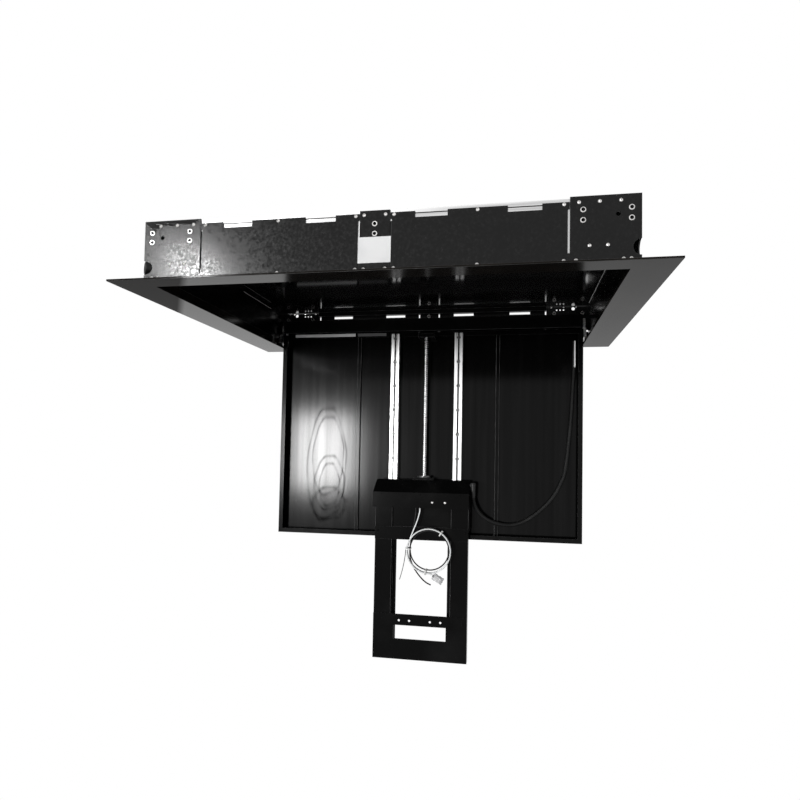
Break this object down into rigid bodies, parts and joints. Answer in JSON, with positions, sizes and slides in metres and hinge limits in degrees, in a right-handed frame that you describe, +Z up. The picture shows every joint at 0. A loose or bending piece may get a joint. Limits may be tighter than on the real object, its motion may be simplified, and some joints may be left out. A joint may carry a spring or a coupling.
{
  "type": "tv lift mechanism",
  "caption": "Motorised ceiling lift that hides a television: a flanged housing above a cut-out, a hinged flap that swings down, and a screw-driven carriage with a mounting bracket.",
  "frame": {"origin": "middle of the opening, on the upper face of the flange, which seats under the ceiling", "axes": "+X to the right along the long side, +Y to the rear where the flap is hinged, +Z up; the flap is down and the carriage is at its lowest"},
  "size_m": [0.887, 0.572, 0.8635],
  "materials": {
    "black_coat": "satin powder coat",
    "bare_alu": "drawn, bare",
    "zinc": "zinc plated",
    "steel": "machined",
    "bronze": "machined",
    "dark_plastic": "moulded",
    "white_plastic": "moulded",
    "black_cable": "extruded",
    "pale_cable": "extruded"
  },
  "bodies": {
    "housing": {"flange_frame": "black_coat", "front_cover_left": "black_coat", "front_cover_right": "black_coat", "front_corner_left": "black_coat", "front_corner_right": "black_coat", "front_centre_plate": "black_coat", "rear_cover_left": "black_coat", "rear_cover_right": "black_coat", "rear_corner_left": "black_coat", "rear_corner_right": "black_coat", "rear_centre_plate": "black_coat", "side_wall_left": "black_coat", "side_wall_right": "black_coat", "top_lid": "black_coat", "front_top_rail": "bare_alu", "rear_top_rail": "bare_alu", "frame_posts": "bare_alu", "wall_screws": "zinc", "rivet_nuts": "zinc", "blank_label": "white_plastic", "hinge_brackets": "black_coat", "hinge_bushes": "bronze", "drive_cover": "black_coat", "flip_motors": "steel", "control_box": "dark_plastic"},
    "pinion_left": {"drive_pinion_left": "steel"},
    "pinion_right": {"drive_pinion_right": "steel"},
    "flap": {"flap_tray": "black_coat", "tray_stiffeners": "black_coat", "guide_rails": "bare_alu", "rail_screws": "steel", "pivot_pins": "steel", "sector_gears": "steel", "screw_motor": "steel", "motor_bracket": "black_coat", "bearing_block": "bare_alu", "cable_duct": "white_plastic", "conduit": "dark_plastic"},
    "screw": {"lead_screw": "steel", "shaft_coupling": "bare_alu"},
    "carriage": {"carriage_plate": "black_coat", "slider_blocks": "steel", "screw_nut": "bronze", "nut_bracket": "black_coat", "hood": "black_coat", "bracket_channel_left": "black_coat", "bracket_channel_right": "black_coat", "centre_panel": "black_coat", "crossbar": "black_coat", "lower_plate": "black_coat", "carriage_screws": "zinc", "cable_glands": "dark_plastic", "pale_lead": "pale_cable", "pale_coil": "pale_cable", "pale_tail": "pale_cable", "black_lead": "black_cable", "black_coil": "black_cable", "black_tail": "black_cable", "cable_connector": "white_plastic", "cable_ties": "white_plastic"}
  },
  "joints": [
    {"name": "flap_flip", "type": "hinge", "parent": "housing", "child": "flap", "pos_m": [0, 0.235, 0.0115], "axis": [-1, 0, 0], "range_deg": [0, 90]},
    {"name": "carriage_slide", "type": "slide", "parent": "flap", "child": "carriage", "axis": [0, 0, 1], "range_m": [0, 0.32], "deforming": ["conduit"]},
    {"name": "screw_spin", "type": "hinge", "parent": "flap", "child": "screw", "pos_m": [0, 0.2275, -0.2], "axis": [0, 0, 1], "range_deg": [-11520, 0]},
    {"name": "pinion_spin_left", "type": "hinge", "parent": "housing", "child": "pinion_left", "pos_m": [-0.38, 0.24099, 0.04548], "axis": [-1, 0, 0], "range_deg": [-168.75, 0]},
    {"name": "pinion_spin_right", "type": "hinge", "parent": "housing", "child": "pinion_right", "pos_m": [0.38, 0.24099, 0.04548], "axis": [-1, 0, 0], "range_deg": [-168.75, 0]}
  ],
  "couplings": [
    {"joint": "carriage_slide", "follows": "flap_flip", "m_per_rad": 0.2037},
    {"joint": "screw_spin", "follows": "flap_flip", "ratio": -127.98},
    {"joint": "pinion_spin_left", "follows": "flap_flip", "ratio": -1.875},
    {"joint": "pinion_spin_right", "follows": "flap_flip", "ratio": -1.875}
  ]
}
